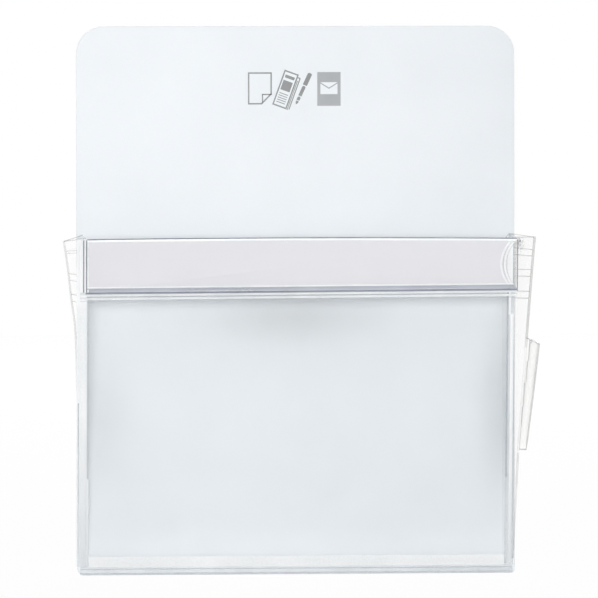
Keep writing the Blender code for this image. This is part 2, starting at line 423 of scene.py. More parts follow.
class GroupSheet(NodeSheet):
    """The sheet of a shader node group, with a vector and other named inputs, and named outputs."""

    def __init__(self, name: str, inputs: dict[str, object], *outputs: str) -> None:
        """Start the group.

        Args:
            name: The group's name.
            inputs: Each further input's start value; None stands for a vector.
            outputs: The outputs' names: Color is a colour, and each other one is a value.
        """
        super().__init__(bpy.data.node_groups.new(name, "ShaderNodeTree"))
        add_socket = self.tree.interface.new_socket
        for label, value in {"Vector": None, **inputs}.items():
            kind = "Vector" if value is None else "Color" if isinstance(value, tuple) else "Float"
            socket = add_socket(name=label, in_out="INPUT", socket_type="NodeSocket" + kind)
            if value is not None:
                socket.default_value = value
        for label in outputs:
            kind = "Color" if label == "Color" else "Float"
            add_socket(name=label, in_out="OUTPUT", socket_type="NodeSocket" + kind)
        self.inlet = self.tree.nodes.new("NodeGroupInput").outputs
        self.outlet = self.tree.nodes.new("NodeGroupOutput").inputs

    def close(self, *results: NodeSocket) -> NodeTree:
        """Wire the outputs.

        Args:
            results: What each output gives, in their order.

        Returns:
            The group.
        """
        for target, result in zip(self.outlet, results):
            self.feed(target, result)
        return self.tree


@cache
def pebble_grain() -> NodeTree:
    """Build the fine pebbled grain of embossed plastic, from its scale.

    Returns:
        The group: Height and Mask.
    """
    sheet = GroupSheet("pebble_grain", {"Scale": 1400.0}, "Height", "Mask")
    vector, scale = sheet.inlet["Vector"], sheet.inlet["Scale"]
    cells = sheet.add("TexVoronoi", {"Vector": vector, "Scale": scale}, feature="F1")
    fine = sheet.noise(vector, scale, 1.0, 0.5)
    pebbles = sheet.math("SUBTRACT", 1.0, cells.outputs["Distance"])
    total = sheet.math("ADD", sheet.math("MULTIPLY", pebbles, 0.6), sheet.math("MULTIPLY", fine, 0.4))
    return sheet.close(total, sheet.remap(total, (0.35, 0.75)))


@cache
def tone_drift() -> NodeTree:
    """Build the slow change of tone over a surface, with faint speckle.

    Returns:
        The group: Color and Mask.
    """
    sheet = GroupSheet("tone_drift", {"Scale": 14.0, "Speckle": 0.2, "Low Color": (0.8, 0.8, 0.8, 1.0),
                                      "High Color": (0.9, 0.9, 0.9, 1.0)}, "Color", "Mask")
    vector, scale = sheet.inlet["Vector"], sheet.inlet["Scale"]
    broad = sheet.noise(vector, scale, 2.0, 0.6)
    speckle = sheet.noise(vector, sheet.math("MULTIPLY", scale, 80.0), 1.0, 0.6)
    centred = sheet.math("SUBTRACT", speckle, 0.5)
    mask = sheet.math("ADD", sheet.remap(broad, (0.3, 0.7)),
                      sheet.math("MULTIPLY", centred, sheet.inlet["Speckle"]))
    held = sheet.remap(mask, WHOLE)
    return sheet.close(sheet.blend(held, sheet.inlet["Low Color"], sheet.inlet["High Color"]), held)


@cache
def rub_marks() -> NodeTree:
    """Build short faint rub marks, some upright and some across.

    Returns:
        The group: Mask.
    """
    sheet = GroupSheet("rub_marks", {"Scale": 70.0, "Amount": 0.5}, "Mask")
    marks = []
    for stretch, start in (((1.0, 1.0, 9.0), 0.62), ((7.0, 1.0, 1.0), 0.64)):
        drawn = sheet.add("Mapping", {"Vector": sheet.inlet["Vector"], "Scale": stretch}).outputs["Vector"]
        marks.append(sheet.remap(sheet.noise(drawn, sheet.inlet["Scale"], 4.0, 0.7), (start, start + 0.1)))
    return sheet.close(sheet.math("MULTIPLY", sheet.math("MAXIMUM", *marks), sheet.inlet["Amount"]))


@cache
def clouding() -> NodeTree:
    """Build a soft cloud about a place, wider along some axes than others, and patchy where asked.

    Returns:
        The group: Mask.
    """
    sheet = GroupSheet("clouding", {"Centre": None, "Reach": None, "Amount": 0.5, "Mottle": 0.0}, "Mask")
    offset = sheet.inlet["Vector"]
    for operation, other in (("SUBTRACT", "Centre"), ("DIVIDE", "Reach")):
        offset = sheet.add("VectorMath", {0: offset, 1: sheet.inlet[other]}, operation=operation).outputs[0]
    length = sheet.add("VectorMath", {0: offset}, operation="LENGTH").outputs["Value"]
    fade = sheet.remap(length, WHOLE, (1.0, 0.0), interpolation_type="SMOOTHSTEP")
    patches = sheet.remap(sheet.noise(sheet.inlet["Vector"], 700.0, 2.0, 0.6), (0.4, 0.6))
    missing = sheet.math("MULTIPLY", sheet.math("SUBTRACT", 1.0, patches), sheet.inlet["Mottle"])
    amount = sheet.math("MULTIPLY", sheet.inlet["Amount"], sheet.math("SUBTRACT", 1.0, missing))
    return sheet.close(sheet.math("MULTIPLY", fade, amount))


@cache
def weld_press() -> NodeTree:
    """Build the close ribs that a welding bar presses into film, in both directions.

    Returns:
        The group: Height.
    """
    sheet = GroupSheet("weld_press", {"Scale": 320.0}, "Height")
    inputs = {"Vector": sheet.inlet["Vector"], "Scale": sheet.inlet["Scale"], "Distortion": 0.6,
              "Detail": 1.0}
    ribs = [sheet.add("TexWave", inputs, wave_type="BANDS", bands_direction=way, wave_profile="SIN")
            for way in ("X", "Z")]
    return sheet.close(sheet.math("MULTIPLY", *(rib.outputs["Fac"] for rib in ribs)))


@dataclass(frozen=True)
class Cloud:
    """A patch of changed colour and alpha on a film, used for painted shade and light: its centre and reach
    in millimetres, its strength, look, added alpha and patchiness.
    """

    centre: Triple
    reach: Triple
    amount: float
    color: Triple = (0.42, 0.445, 0.47)
    density: float = 0.06
    mottle: float = 0.0


@dataclass(frozen=True)
class Finish:
    """A finish: the tones that it drifts between, its sheen and grain, how clear it is, if it is, and its
    clouds, which on the clear film are painted shade and light.

    Where it is pressed, that says how much of the grain is left between the ribs.
    """

    name: str
    low: Triple
    high: Triple
    alpha: Pair | None = None
    roughness: Pair = (0.22, 0.38)
    grain_scale: float = 1300.0
    grain_depth: float = 0.04 * MM
    grain_strength: float = 0.3
    drift_scale: float = 16.0
    speckle: float = 0.35
    ior: float = 1.53
    rub_amount: float = 0.0
    rubbed: Triple = (0.11, 0.11, 0.11)
    pressed: float = 0.0
    # Clouds: on the clear film, painted shade and painted light.
    clouds: tuple[Cloud, ...] = ()

    def start(self) -> tuple[Material, NodeSheet, NodeSocket, dict[str, NodeSocket]]:
        """Start the material with its drift of tone.

        Returns:
            The material, its sheet, the object's own coordinates and the tone's outputs.
        """
        made = bpy.data.materials.new(self.name)
        made.use_nodes = True
        sheet = NodeSheet(made.node_tree)
        coords = sheet.add("TexCoord").outputs["Object"]
        tone = sheet.effect(tone_drift(), coords, Scale=self.drift_scale, Speckle=self.speckle,
                            Low_Color=self.low, High_Color=self.high)
        return made, sheet, coords, tone

    @cache
    def material(self) -> Material:
        """Build the material, once.

        Returns:
            The material.
        """
        made, sheet, coords, tone = self.start()
        shader = made.node_tree.nodes["Principled BSDF"].inputs
        grain = sheet.effect(pebble_grain(), coords, Scale=self.grain_scale)
        color, height = tone["Color"], grain["Height"]
        if self.rub_amount:
            rubs = sheet.effect(rub_marks(), coords, Amount=self.rub_amount)
            color = sheet.blend(rubs["Mask"], color, self.rubbed)
        if self.alpha:
            alpha = sheet.remap(tone["Mask"], WHOLE, self.alpha)
            # Each cloud blends the colour towards its own and adds to the alpha: painted shade and light on
            # the clear film.
            for cloud in self.clouds:
                spot = sheet.effect(clouding(), coords, Centre=Vector(cloud.centre) * MM,
                                    Reach=Vector(cloud.reach) * MM, Amount=cloud.amount, Mottle=cloud.mottle)
                color = sheet.blend(spot["Mask"], color, cloud.color)
                alpha = sheet.math("ADD", alpha, sheet.math("MULTIPLY", spot["Mask"], cloud.density))
            sheet.feed(shader["Alpha"], alpha)
        if self.pressed:
            ribs = sheet.effect(weld_press(), coords)
            height = sheet.math("ADD", sheet.math("MULTIPLY", height, self.pressed), ribs["Height"])
        bump = sheet.add("Bump", {"Strength": self.grain_strength, "Distance": self.grain_depth,
                                  "Height": height})
        sheet.feed(shader["Base Color"], color)
        sheet.feed(shader["Roughness"], sheet.remap(grain["Mask"], WHOLE, self.roughness))
        sheet.feed(shader["IOR"], self.ior)
        sheet.feed(shader["Normal"], bump.outputs["Normal"])
        return made


def list_finishes() -> dict[str, Finish]:
    """List every finish of the pocket.

    Returns:
        The finishes by name.
    """
    solid = partial(Finish, roughness=(0.45, 0.6), grain_scale=1500.0, grain_depth=0.03 * MM,
                    grain_strength=0.25, drift_scale=14.0, speckle=0.25, ior=1.5)
    inked = partial(solid, roughness=(0.4, 0.6), grain_scale=3000.0, speckle=0.8, drift_scale=60.0)
    glossy = partial(Finish, roughness=(0.12, 0.25), grain_strength=0.15)
    welded = partial(Finish, roughness=(0.2, 0.35), drift_scale=40.0)
    lined = partial(Finish, roughness=(0.1, 0.2), drift_scale=50.0)
    edged = partial(Finish, roughness=(0.2, 0.3), drift_scale=60.0)
    # Painted shade and light on the clear film: a painted shadow by the right gusset, painted shade by the
    # left weld, two painted shadows under the label sleeve, and a clearer, lighter film near the foot as
    # painted light.
    painted_shade_and_light = (Cloud((107.0, -12.0, -50.0), (24.0, 60.0, 75.0), 1.0, density=0.085),
              Cloud((-100.0, -14.0, -55.0), (24.0, 60.0, 55.0), 0.5),
              Cloud((0.0, -17.0, -2.0), (150.0, 60.0, 55.0), 0.42),
              Cloud((-4.0, -17.0, -7.0), (66.0, 60.0, 20.0), 0.7, color=(0.40, 0.41, 0.40)),
              Cloud((0.0, -5.0, -129.0), (1500.0, 1500.0, 20.0), 1.0, (0.97, 0.98, 0.99), -0.046))
    # Darker, bluish, mottled patches on the right gusset film.
    dark_mottled_patches = (Cloud((111.2, -19.0, 29.0), (3.4, 9.0, 6.5), 1.0, (0.22, 0.26, 0.26), 0.50, 0.9),
                Cloud((105.4, -2.5, 33.4), (6.0, 5.0, 3.6), 1.0, (0.26, 0.30, 0.42), 0.60, 0.9))
    fade = Cloud((0.0, -5.0, -137.5), (800.0, 800.0, 85.0), 1.0, (0.95, 0.97, 0.99), -0.52)
    finishes = (
        solid("white_board", (0.781, 0.819, 0.850), (0.819, 0.856, 0.885), speckle=0.5),
        solid("board_edge", (0.78, 0.82, 0.86), (0.83, 0.86, 0.90), grain_scale=2600.0),
        solid("magnet_rubber", (0.030, 0.029, 0.028), (0.050, 0.048, 0.047), roughness=(0.6, 0.8),
              grain_scale=2200.0, grain_depth=0.05 * MM, grain_strength=0.4, drift_scale=30.0,
              rub_amount=0.5),
        solid("mounting_tape", (0.70, 0.70, 0.67), (0.78, 0.78, 0.75), roughness=(0.4, 0.6),
              grain_scale=900.0, drift_scale=40.0),
        solid("label_card_paper", (0.800, 0.793, 0.825), (0.835, 0.828, 0.860), roughness=(0.75, 0.9),
              grain_scale=2400.0, grain_strength=0.2, speckle=0.6, ior=1.35),
        inked("grey_ink", (0.205, 0.21, 0.215), (0.265, 0.27, 0.275)),
        inked("pale_grey_ink", (0.33, 0.345, 0.36), (0.38, 0.395, 0.41)),
        Finish("clear_film", (0.79, 0.84, 0.86), (0.90, 0.94, 0.96), (0.055, 0.085), clouds=painted_shade_and_light),
        # A painted highlight: the lowest band of the front film is near-opaque white.
        Finish("film_at_the_foot", (0.96, 0.98, 0.99), (0.98, 0.99, 1.0), (0.78, 0.86)),
        # Lit and shaded copies of one gusset film: the right gusset's darker, warmer, denser copy is painted
        # shade, and the left gusset's paler, clearer copy is painted light.
        glossy("gusset_film", (0.90, 0.895, 0.88), (0.96, 0.955, 0.94), (0.04, 0.065), clouds=dark_mottled_patches),
        glossy("thin_gusset_film", (0.96, 0.96, 0.955), (1.0, 1.0, 0.99), (0.012, 0.025)),
        glossy("pen_loop_film", (0.88, 0.885, 0.85), (0.95, 0.95, 0.92), (0.08, 0.13)),
        Finish("sleeve_film", (0.80, 0.80, 0.83), (0.86, 0.86, 0.89), (0.04, 0.07), roughness=(0.10, 0.2),
               grain_strength=0.1),
        # Painted shade: a dark blue-grey band where the sleeve bends up from its foot weld.
        lined("bent_film", (0.48, 0.52, 0.59), (0.62, 0.66, 0.73), (0.34, 0.50), drift_scale=30.0),
        welded("weld_film", (0.88, 0.905, 0.93), (0.95, 0.965, 0.98), (0.60, 0.74), pressed=0.4),
        welded("foot_weld_film", (0.79, 0.83, 0.86), (0.86, 0.89, 0.92), (0.62, 0.76), pressed=0.4),
        welded("side_weld_film", (0.88, 0.92, 0.95), (0.96, 0.98, 1.0), (0.16, 0.26)),
        # Frosted weld film made near-opaque white: partly the weld's own colour, partly a painted highlight
        # along the weld beads, the sleeve's roll and the notch's lip.
        welded("bright_weld_film", (0.94, 0.965, 0.98), (0.98, 0.99, 1.0), (0.86, 0.93), clouds=(fade,)),
        lined("pressed_line", (0.22, 0.25, 0.31), (0.34, 0.37, 0.44), (0.55, 0.70)),
        lined("soft_line", (0.38, 0.42, 0.48), (0.50, 0.54, 0.60), (0.30, 0.43)),
        lined("faint_line", (0.55, 0.58, 0.62), (0.68, 0.71, 0.75), (0.14, 0.23)),
        lined("weld_line", (0.60, 0.63, 0.66), (0.72, 0.75, 0.78), (0.08, 0.14)),
        edged("film_rim", (0.42, 0.45, 0.49), (0.55, 0.58, 0.62), (0.40, 0.56)),
        edged("gusset_rim", (0.42, 0.42, 0.41), (0.55, 0.55, 0.54), (0.26, 0.38)),
        edged("pressed_bar_line", (0.36, 0.36, 0.35), (0.50, 0.50, 0.49), (0.30, 0.44)),
        edged("pale_crease", (0.46, 0.46, 0.45), (0.60, 0.60, 0.59), (0.14, 0.26)),
        edged("pen_loop_edge", (0.48, 0.48, 0.46), (0.62, 0.62, 0.60), (0.18, 0.28)),
        edged("faint_bar_line", (0.50, 0.50, 0.49), (0.62, 0.62, 0.61), (0.05, 0.10)))
    return {finish.name: finish for finish in finishes}


FINISHES = list_finishes()


@dataclass(frozen=True)
class FilmSheet:
    """A film that a grid of lines is laid out on, bent to a surface and given its thickness."""

    columns: Sequence[float]
    rows: Sequence[float]
    surface: Callable[[float, float], Vector]
    thickness: float = 0.3 * MM
    zone: Callable[[float, float], int] = lambda across, up: 0

    def make(self, name: str, finishes: Sequence[str], place: Matrix = UNMOVED) -> Object:
        """Make the film in its place, with its thickness to both sides.

        Args:
            name: The piece's name.
            finishes: The zones' finishes, and the cut edge's last.
            place: The frame that its surface is given in.

        Returns:
            The film.
        """
        wide, high = len(self.columns) - 1, len(self.rows) - 1
        film = begin(name, bpy.ops.mesh.primitive_grid_add, x_subdivisions=wide, y_subdivisions=high,
                     size=1.0)
        dress(film, *finishes)
        for face in film.data.polygons:
            across, up = int((face.center.x + 0.5) * wide), int((face.center.y + 0.5) * high)
            face.material_index = self.zone((self.columns[across] + self.columns[across + 1]) / 2,
                                            (self.rows[up] + self.rows[up + 1]) / 2)
        for vertex in film.data.vertices:
            across, up = round((vertex.co.x + 0.5) * wide), round((vertex.co.y + 0.5) * high)
            vertex.co = self.surface(self.columns[across], self.rows[up])
        modify(film, "SOLIDIFY", thickness=self.thickness, offset=0.0, use_even_offset=True,
               material_offset_rim=len(finishes))
        soften(film)
        settle(film, place)
        return film


@dataclass(frozen=True)
class WeldBand:
    """A pressed band of fused film, of stripes side by side that run along it.

    A stripe is its width and how far it stands out, in millimetres, and its zone. A change is a stripe's
    zone, a place along the band in millimetres, and the zones that the stripe has before and after it.
    """

    stripes: Stripes
    start: float
    length: Sequence[float]
    level: float
    thickness: float = 0.3 * MM
    upright: bool = True
    direction: int = 1
    lean: float = 0.0
    changes: Changes = ()

    def make(self, name: str, finishes: Sequence[str], place: Matrix = UNMOVED) -> Object:
        """Make the band in its place.

        Args:
            name: The piece's name.
            finishes: The zones' finishes, and the cut edge's last.
            place: The frame that the band is given in: its face looks along -Y.

        Returns:
            The band.
        """
        places, levels, zones = [self.start], [self.level], []
        for width, rise, zone in self.stripes:
            for step, height in ((width / 4, rise), (width / 2, rise), (width / 4, 0.0)):
                places.append(places[-1] + self.direction * step * MM)
                levels.append(self.level - height * MM)
                zones.append(zone)
        if self.direction < 0:
            places, levels, zones = places[::-1], levels[::-1], zones[::-1]
        level_at = dict(zip(places, levels))
        changes = {zone: (0.0, zone, zone) for zone in zones}
        changes.update({zone: change for zone, *change in self.changes})

        def zone_at(across: float, along: float) -> int:
            """Give the zone of the stripe that a place is on."""
            limit, before, after = changes[zones[bisect(places, across) - 1]]
            return before if along < limit * MM else after

        if self.upright:
            film = FilmSheet(places, self.length, lambda x, z: Vector((x, level_at[x], z)),
                             self.thickness, zone_at)
        else:
            film = FilmSheet(self.length, places, lambda x, z: Vector((x, level_at[z], z + self.lean * x)),
                             self.thickness, lambda x, z: zone_at(z, x))
        return film.make(name, finishes, place)


@dataclass
class Board:
    """The white backing sheet, and the magnets taped to its back."""

    top_radius: float = 14.0 * MM
    foot_radii: Pair = (3.4 * MM, 2.0 * MM)
    rim: float = 0.18 * MM
    magnet_size: Pair = (200.0 * MM, 30.0 * MM)
    magnet_thickness: float = 1.0 * MM
    magnet_corner: float = 1.5 * MM
    magnet_border: float = 1.1 * MM
    magnet_press: Pair = (0.3 * MM, 0.06 * MM)
    magnet_rim: float = 0.12 * MM
    magnet_rows: tuple[tuple[str, float], ...] = (
        ("top", 110.5 * MM), ("bottom", -110.5 * MM), ("middle", 0.0))
    tape_size: Pair = (197.0 * MM, 27.0 * MM)
    tape_levels: Pair = (-1.01 * MM, -1.29 * MM)
    tape_corner: float = 1.2 * MM

    def sheet(self) -> Object:
        """Model the sheet: a block with round corners and eased rims.

        Returns:
            The sheet.
        """
        sheet = slab("backing_board", LAYOUT.board_size, LAYOUT.board_rear, LAYOUT.board_front)
        foot = -LAYOUT.board_size[1] / 2
        with editing(sheet, "EDGE"):
            round_edges(sheet, self.top_radius, 20, where=lambda end: end.z > 0.0)
            for side, radius in zip(Side, self.foot_radii):
                round_edges(sheet, radius, 8, where=lambda end: end.x * side.value > 0.0
                            and abs(end.z - foot) < 0.01 * MM)
            round_edges(sheet, self.rim, 3, through=False)
        dress(sheet, "white_board", "board_edge")
        for face in sheet.data.polygons:
            face.material_index = 0 if abs(face.normal.y) > 0.9 else 1
        soften(sheet)
        return sheet

    def magnet(self) -> Object:
        """Model the middle row's flexible magnet, its rear face pressed in inside a narrow border.

        Returns:
            The magnet.
        """
        magnet = slab("magnet_band_middle", self.magnet_size, 0.0, -self.magnet_thickness)
        with editing(magnet, "EDGE"):
            round_edges(magnet, self.magnet_corner, 5)
            bpy.ops.mesh.select_mode(type="FACE")
            pick(magnet, "faces", lambda face: face.normal.y > 0.9)
            bpy.ops.mesh.inset(thickness=self.magnet_border, depth=0.0)
            bpy.ops.mesh.inset(thickness=self.magnet_press[0], depth=-self.magnet_press[1])
        modify(magnet, "BEVEL", width=self.magnet_rim, segments=2, limit_method="ANGLE",
               angle_limit=math.radians(60.0))
        dress(magnet, "magnet_rubber")
        soften(magnet)
        return magnet

    def tape(self) -> Object:
        """Model the strip of mounting tape between the board and the middle magnet.

        Returns:
            The tape.
        """
        tape = slab("magnet_tape_middle", self.tape_size, *self.tape_levels)
        with editing(tape, "EDGE"):
            round_edges(tape, self.tape_corner, 4)
        dress(tape, "mounting_tape")
        soften(tape)
        return tape

    def in_row(self, original: Object, row: str, height: float) -> Object:
        """Give a piece for a row of magnets: the middle row's own one, or a copy with its own mesh.

        Args:
            original: The middle row's piece.
            row: The row's name.
            height: How far up the row lies.

        Returns:
            The row's piece.
        """
        if row == "middle":
            return original
        twin = original.copy()
        twin.data = original.data.copy()
        twin.name = twin.data.name = original.name.replace("middle", row)
        bpy.context.scene.collection.objects.link(twin)
        settle(twin, Matrix.Translation((0.0, 0.0, height)))
        return twin

    def build(self) -> None:
        """Build the board's pieces and fasten them to the root body."""
        fasten(self.sheet(), "root", "white_sheet", "backing_sheet")
        magnet, tape = self.magnet(), self.tape()
        for row, height in self.magnet_rows:
            fasten(self.in_row(magnet, row, height), "root", "magnet_rubber", f"magnet_strip_{row}")
            fasten(self.in_row(tape, row, height), "root", "white_sheet")


@dataclass(frozen=True)
class Mark:
    """A flat printed shape, in millimetres: its size, its centre on the board and its turn in degrees.

    A cut has a point on it, seen from the shape's middle, and the way to what is cut off.
    """

    size: Pair
    centre: Pair
    turn: float = 0.0
    ink: str = "grey_ink"
    layers: int = 1
    outline: bool = False
    cuts: tuple[tuple[Pair, Pair], ...] = ()


@dataclass
class PrintedMarks:
    """The grey pictograms on the board: a page, a folded paper, a pen and an envelope.

    The paper's shapes are a size and a place across and up on it, and the pen's are a length, a width and a
    place down along it, all in millimetres.
    """

    ink: float = 0.03 * MM
    stroke: float = 0.72 * MM
    paper_centre: Pair = (-5.05, 105.75)
    paper_turn: float = -20.0
    paper: tuple[tuple[Pair, float, float], ...] = (
        ((7.6, 18.5), 0.0, 0.0), ((4.9, 1.5), 0.0, 6.4), ((4.9, 5.0), -0.1, 1.8),
        *(((4.6, 0.42), -0.1, -2.4 - 1.15 * step) for step in range(5)),
        ((0.55, 16.4), 5.0, -0.6), ((1.3, 0.55), 4.5, 7.7), ((0.4, 15.5), 4.2, -1.6))
    pen_top: Pair = (7.3, 113.6)
    pen_turn: float = 65.0
    pen: tuple[Triple, ...] = ((6.6, 2.2, 3.0), (5.4, 1.7, 9.5), (2.0, 1.5, 13.6), (1.9, 1.3, 15.9))
    block_x: float = 16.75

    @staticmethod
    def on(centre: Pair, turn: float, across: float, up: float) -> Pair:
        """Give the place on the board that is so far across and up from the middle of a turned shape."""
        return tuple(Vector(centre) + Matrix.Rotation(math.radians(turn), 2) @ Vector((across, up)))

    def marks(self) -> Iterator[Mark]:
        """List the shapes of the four pictograms.

        Yields:
            The page with its corner folded over, the tilted paper with a picture, ruled lines and a second
            leaf behind it, the pen down to its point, and the pale block with a white envelope in it.
        """
        yield Mark((12.0, 16.1), (-17.9, 106.35), outline=True, cuts=(((6.0, -2.9), (1.0, -0.98)),))
        yield Mark((5.0, 0.6), (-14.4, 103.3))
        yield Mark((0.6, 4.6), (-16.6, 101.2))
        for size, across, up in self.paper:
            centre = self.on(self.paper_centre, self.paper_turn, across, up)
            yield Mark(size, centre, self.paper_turn, outline=size == self.paper[0][0])
        for length, width, along in self.pen:
            bevels = tuple(((length / 2 - 0.5, way * width / 2), (0.7, way * 0.7)) for way in (1, -1))
            point = tuple(((-0.95, way * 0.1), (-0.55, way * 1.6)) for way in (1, -1))
            yield Mark((length, width), self.on(self.pen_top, self.pen_turn, -along, 0.0), self.pen_turn,
                       cuts=point if along == self.pen[-1][-1] else bevels)
        yield Mark((11.7, 16.9), (self.block_x, 106.0), ink="pale_grey_ink")
        yield Mark((8.6, 6.0), (self.block_x, 106.4), ink="white_board", layers=2)
        for way in (-1, 1):
            yield Mark((5.2, 0.55), (self.block_x + way * 2.15, 107.7), way * 32.0, "pale_grey_ink", 3)

    def print(self, mark: Mark) -> Object:
        """Print one shape.

        Args:
            mark: The shape.

        Returns:
            Its thin plate, in front of the layers of ink below it.
        """
        shape = begin("printed_mark", bpy.ops.mesh.primitive_plane_add, size=MM,
                      rotation=(math.pi / 2, 0.0, 0.0))
        with editing(shape, "FACE"):
            bpy.ops.mesh.select_all(action="SELECT")
            bpy.ops.transform.resize(value=(mark.size[0], 1.0, mark.size[1]), center_override=ORIGIN)
            for point, away in mark.cuts:
                bisect_all((point[0] * MM, 0.0, point[1] * MM), (away[0], 0.0, away[1]))
            if mark.outline:
                bpy.ops.mesh.select_all(action="SELECT")
                bpy.ops.mesh.inset(thickness=self.stroke, depth=0.0)
                bpy.ops.mesh.delete(type="FACE")
        dress(shape, mark.ink)
        modify(shape, "SOLIDIFY", thickness=self.ink * (1 + mark.layers), offset=-1.0)
        level = LAYOUT.board_front - self.ink * mark.layers
        settle(shape, Matrix.Translation((mark.centre[0] * MM, level, mark.centre[1] * MM))
               @ Matrix.Rotation(-math.radians(mark.turn), 4, "Y"))
        return shape

    def build(self) -> None:
        """Print the four pictograms and fasten them to the root body as one piece."""
        shapes = [self.print(mark) for mark in self.marks()]
        select_only(*shapes)
        bpy.ops.object.join()
        shapes[0].name = shapes[0].data.name = "printed_marks"
        fasten(shapes[0], "root", "white_sheet")


@dataclass
class Welds:
    """The fused bands on the board: along the foot and behind both gussets."""

    foot_low: float = -137.15 * MM
    foot_half_width: float = 108.7 * MM
    foot_level: float = -2.72 * MM
    foot_thickness: float = 0.62 * MM
    foot_stripes: Stripes = ((0.75, 0.15, 1), (1.7, 0.0, 0), (0.45, 0.1, 2), (0.85, 0.2, 0))
    rear_width: float = 3.3 * MM
    rear_rise: float = 0.05 * MM
    slant: float = 6.0 * MM
    lip: float = 0.45 * MM

    def rear_band(self, side: Side) -> Object:
        """Make the band that joins a gusset to the board, its top end cut at a slant with a thin dark lip.

        Args:
            side: The gusset's side.

        Returns:
            The band.
        """
        top = LAYOUT.hinge_z + LAYOUT.pocket_height - 0.3 * MM
        inner, lip = LAYOUT.fold_x - self.rear_width, top - self.lip
        rows = spread(LAYOUT.hinge_z, top - self.slant, 24) + [top - self.slant / 2, lip, top]

        def surface(across: float, height: float) -> Vector:
            """Give the film's middle surface, from the inner edge to the fold.

            Args:
                across: The place across, as if the band were the right one.
                height: The height, as if its end were square.

            Returns:
                The point.
            """
            cut = (LAYOUT.fold_x - across) * between(height, top - self.slant, lip)
            rise = self.rear_rise * math.sin(math.pi * (across - inner) / self.rear_width)
            return Vector((side.value * across, LAYOUT.rear_fold_y - rise, height - cut))

        # The right band takes the shaded copy of the gusset film and the left band the lit copy, as painted
        # shade and light.
        film = "gusset_film" if side is Side.RIGHT else "thin_gusset_film"
        return FilmSheet(spread(inner, LAYOUT.fold_x, 6), rows, surface, zone=lambda x, z: int(z > lip)).make(
            f"{side.word}_rear_weld", (film, "faint_line", "thin_gusset_film"))

    def build(self) -> None:
        """Build the bands, the foot's darkest at its lower lip, and fasten them to the root body."""
        band = WeldBand(self.foot_stripes, self.foot_low,
                        spread(-self.foot_half_width, self.foot_half_width, 60),
                        self.foot_level, self.foot_thickness, upright=False)
        fasten(band.make("foot_weld", ("foot_weld_film", "faint_line", "weld_line")),
               "root", "weld_film", "bottom_seam")
        for side in Side:
            fasten(self.rear_band(side), "root", "weld_film", f"{side.word}_rear_seam")


@dataclass
class FrontPanel:
    """The pocket's clear front, from the foot weld to the mouth, with its side welds."""

    half_width: float = 104.6 * MM
    tuck: float = 0.8 * MM
    bulge: float = 1.2 * MM
    bulge_heights: tuple[float, float, float, float] = (2.0 * MM, 40.0 * MM, 80.0 * MM, 134.0 * MM)
    ripple: float = 0.12 * MM
    ripple_length: float = 23.0 * MM
    ripple_turns: float = 5.1
    ripple_phase: float = 0.7
    arch: float = 0.5 * MM
    arch_foot: float = 150.0 * MM
    lit_foot: float = 5.5 * MM
    bend: Pair = (-0.2 * MM, 4.0 * MM)
    left_level: float = -0.22 * MM
    left_stripes: Stripes = ((0.9, 0.12, 4), (2.6, 0.2, 2), (1.3, 0.0, 2), (0.7, 0.05, 3), (0.6, 0.0, 2))
    left_changes: Changes = ((4, 46.0, 2, 4), (3, 84.0, 0, 2))
    right_stripes: Stripes = ((0.95, 0.12, 1), (1.0, 0.0, 0), (1.55, 0.15, 2), (0.8, 0.1, 3))
    right_changes: Changes = ((1, 46.0, 3, 1), (3, 66.0, 4, 3), (0, 125.0, 0, 2), (2, 125.0, 2, 0))

    def face(self, x: float, z: float) -> Vector:
        """Give the film's middle surface in the front film's frame.

        Args:
            x: The place across.
            z: The height above the hinge.

        Returns:
            The point.
        """
        if z < 0.0:
            return Vector((x, z * math.sin(LAYOUT.tilt), z))
        across = x / self.half_width
        share = plateau(z, *self.bulge_heights)
        swell = self.bulge * share * (1.0 - across ** 4)
        waves = math.sin(across * self.ripple_turns + self.ripple_phase) * math.sin(z / self.ripple_length)
        drop = self.arch * (x / LAYOUT.fold_x) ** 2 * between(z, self.arch_foot, LAYOUT.pocket_height)
        return Vector((x, -swell - self.ripple * waves * share, z - drop))

    def film(self) -> Object:
        """Make the front film.

        Returns:
            The film.
        """
        columns = spread(-self.half_width, self.half_width, 44)
        rows = [-self.tuck, -0.4 * MM] + spread(0.0, 6.0 * MM, 6) + spread(
            9.0 * MM, LAYOUT.pocket_height - 0.6 * MM, 46)
        # Below lit_foot the film takes the painted highlight.
        return FilmSheet(columns, rows, self.face, zone=lambda x, z: int(z < self.lit_foot)).make(
            "front_panel_film", ("clear_film", "film_at_the_foot", "film_rim"), LAYOUT.front)

    def build(self) -> None:
        """Build the front film, which bends at its hinge, and its side welds, and fasten them."""
        start, end = (LAYOUT.front @ Vector((0.0, 0.0, height)) for height in self.bend)
        fasten(self.film(), "root", "clear_film", "front_film", bend=("front", start, end))
        rows = spread(0.4 * MM, LAYOUT.pocket_height - 0.5 * MM, 30)
        for side, level, stripes, changes in (
                (Side.LEFT, self.left_level, self.left_stripes, self.left_changes),
                (Side.RIGHT, 0.0, self.right_stripes, self.right_changes)):
            band = WeldBand(stripes, side.value * self.half_width, rows, level, direction=side.value,
                            changes=changes)
            # Zone 2 of each band takes the weld film with its painted highlight.
            film = band.make(f"{side.word}_front_weld", (
                "side_weld_film", "soft_line", "bright_weld_film", "faint_line", "weld_line"), LAYOUT.front)
            fasten(film, "front", "weld_film", f"{side.word}_front_seam")


